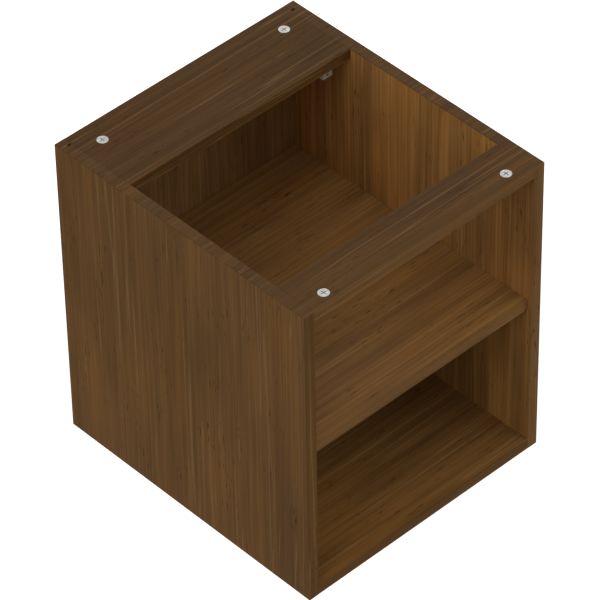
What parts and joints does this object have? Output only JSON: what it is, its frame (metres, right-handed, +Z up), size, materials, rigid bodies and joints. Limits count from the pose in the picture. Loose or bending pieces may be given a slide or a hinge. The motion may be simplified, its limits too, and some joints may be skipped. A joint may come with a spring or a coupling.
{
  "type": "cube storage unit",
  "caption": "Open-front storage cube of dark wood-decor board, with top rails, a loose shelf, cam fittings and adjustable wall hangers.",
  "frame": {"origin": "on the floor, under the middle of the unit", "axes": "+X to the right seen from the open front, +Y to the back, +Z up; the open front faces -Y"},
  "size_m": [0.4, 0.44, 0.47],
  "materials": {
    "walnut_board": "matt",
    "walnut_edge": "matt",
    "walnut_back": "matt",
    "beech": "matt",
    "die_cast_zinc": "satin",
    "nickel_plated_steel": "satin",
    "zinc_plated_steel": "satin",
    "grey_plastic": "matt"
  },
  "bodies": {
    "carcass": {"left_side_panel": "walnut_board", "right_side_panel": "walnut_board", "bottom_panel": "walnut_board", "back_panel": "walnut_back", "front_top_rail": "walnut_board", "back_top_rail": "walnut_board", "left_side_front_band": "walnut_edge", "left_side_top_band": "walnut_edge", "left_side_back_band": "walnut_edge", "left_side_bottom_band": "walnut_edge", "right_side_front_band": "walnut_edge", "right_side_top_band": "walnut_edge", "right_side_back_band": "walnut_edge", "right_side_bottom_band": "walnut_edge", "bottom_front_band": "walnut_edge", "bottom_back_band": "walnut_edge", "front_rail_front_band": "walnut_edge", "front_rail_back_band": "walnut_edge", "back_rail_front_band": "walnut_edge", "back_rail_back_band": "walnut_edge", "left_cam_bolts": "zinc_plated_steel", "right_cam_bolts": "zinc_plated_steel", "left_dowels": "beech", "right_dowels": "beech", "shelf_pin_front_left": "nickel_plated_steel", "shelf_pin_front_right": "nickel_plated_steel", "shelf_pin_back_left": "nickel_plated_steel", "shelf_pin_back_right": "nickel_plated_steel", "left_hanger_housing": "grey_plastic", "left_hanger_fixing_screws": "zinc_plated_steel", "right_hanger_housing": "grey_plastic", "right_hanger_fixing_screws": "zinc_plated_steel"},
    "shelf": {"shelf": "walnut_board", "shelf_front_band": "walnut_edge"},
    "top_cam_front_left": {"top_cam_front_left": "die_cast_zinc"},
    "top_cam_front_right": {"top_cam_front_right": "die_cast_zinc"},
    "top_cam_back_left": {"top_cam_back_left": "die_cast_zinc"},
    "top_cam_back_right": {"top_cam_back_right": "die_cast_zinc"},
    "bottom_cam_front_left": {"bottom_cam_front_left": "die_cast_zinc"},
    "bottom_cam_front_right": {"bottom_cam_front_right": "die_cast_zinc"},
    "bottom_cam_back_left": {"bottom_cam_back_left": "die_cast_zinc"},
    "bottom_cam_back_right": {"bottom_cam_back_right": "die_cast_zinc"},
    "left_height_screw": {"left_hanger_height_screw": "zinc_plated_steel"},
    "left_carriage": {"left_hanger_carriage": "zinc_plated_steel"},
    "left_depth_screw": {"left_hanger_depth_screw": "zinc_plated_steel"},
    "left_hook": {"left_hanger_hook": "zinc_plated_steel"},
    "right_height_screw": {"right_hanger_height_screw": "zinc_plated_steel"},
    "right_carriage": {"right_hanger_carriage": "zinc_plated_steel"},
    "right_depth_screw": {"right_hanger_depth_screw": "zinc_plated_steel"},
    "right_hook": {"right_hanger_hook": "zinc_plated_steel"}
  },
  "joints": [
    {"name": "shelf_pull", "type": "slide", "parent": "carcass", "child": "shelf", "axis": [0, -1, 0], "range_m": [0, 0.43]},
    {"name": "top_cam_front_left_turn", "type": "hinge", "parent": "carcass", "child": "top_cam_front_left", "pos_m": [-0.152, -0.202, 0.47], "axis": [0, 0, 1], "range_deg": [0, 180]},
    {"name": "top_cam_front_right_turn", "type": "hinge", "parent": "carcass", "child": "top_cam_front_right", "pos_m": [0.152, -0.202, 0.47], "axis": [0, 0, 1], "range_deg": [0, 180]},
    {"name": "top_cam_back_left_turn", "type": "hinge", "parent": "carcass", "child": "top_cam_back_left", "pos_m": [-0.152, 0.186, 0.47], "axis": [0, 0, 1], "range_deg": [0, 180]},
    {"name": "top_cam_back_right_turn", "type": "hinge", "parent": "carcass", "child": "top_cam_back_right", "pos_m": [0.152, 0.186, 0.47], "axis": [0, 0, 1], "range_deg": [0, 180]},
    {"name": "bottom_cam_front_left_turn", "type": "hinge", "parent": "carcass", "child": "bottom_cam_front_left", "pos_m": [-0.152, -0.202, 0], "axis": [0, 0, -1], "range_deg": [0, 180]},
    {"name": "bottom_cam_front_right_turn", "type": "hinge", "parent": "carcass", "child": "bottom_cam_front_right", "pos_m": [0.152, -0.202, 0], "axis": [0, 0, -1], "range_deg": [0, 180]},
    {"name": "bottom_cam_back_left_turn", "type": "hinge", "parent": "carcass", "child": "bottom_cam_back_left", "pos_m": [-0.152, 0.186, 0], "axis": [0, 0, -1], "range_deg": [0, 180]},
    {"name": "bottom_cam_back_right_turn", "type": "hinge", "parent": "carcass", "child": "bottom_cam_back_right", "pos_m": [0.152, 0.186, 0], "axis": [0, 0, -1], "range_deg": [0, 180]},
    {"name": "left_height_screw_turn", "type": "hinge", "parent": "carcass", "child": "left_height_screw", "pos_m": [-0.176, 0.14, 0.4133], "axis": [0, 1, 0], "range_deg": [-1440, 1440]},
    {"name": "left_hook_height", "type": "slide", "parent": "carcass", "child": "left_carriage", "axis": [0, 0, 1], "range_m": [-0.005, 0.005]},
    {"name": "left_depth_screw_turn", "type": "hinge", "parent": "left_carriage", "child": "left_depth_screw", "pos_m": [-0.176, 0.15, 0.431], "axis": [0, 1, 0], "range_deg": [-2304, 1152]},
    {"name": "left_hook_depth", "type": "slide", "parent": "left_carriage", "child": "left_hook", "axis": [0, 1, 0], "range_m": [-0.004, 0.008]},
    {"name": "right_height_screw_turn", "type": "hinge", "parent": "carcass", "child": "right_height_screw", "pos_m": [0.176, 0.14, 0.4133], "axis": [0, 1, 0], "range_deg": [-1440, 1440]},
    {"name": "right_hook_height", "type": "slide", "parent": "carcass", "child": "right_carriage", "axis": [0, 0, 1], "range_m": [-0.005, 0.005]},
    {"name": "right_depth_screw_turn", "type": "hinge", "parent": "right_carriage", "child": "right_depth_screw", "pos_m": [0.176, 0.15, 0.431], "axis": [0, 1, 0], "range_deg": [-2304, 1152]},
    {"name": "right_hook_depth", "type": "slide", "parent": "right_carriage", "child": "right_hook", "axis": [0, 1, 0], "range_m": [-0.004, 0.008]}
  ],
  "couplings": [
    {"joint": "left_height_screw_turn", "follows": "left_hook_height", "rad_per_m": -5026.5},
    {"joint": "left_depth_screw_turn", "follows": "left_hook_depth", "rad_per_m": -5026.5},
    {"joint": "right_height_screw_turn", "follows": "right_hook_height", "rad_per_m": -5026.5},
    {"joint": "right_depth_screw_turn", "follows": "right_hook_depth", "rad_per_m": -5026.5}
  ]
}
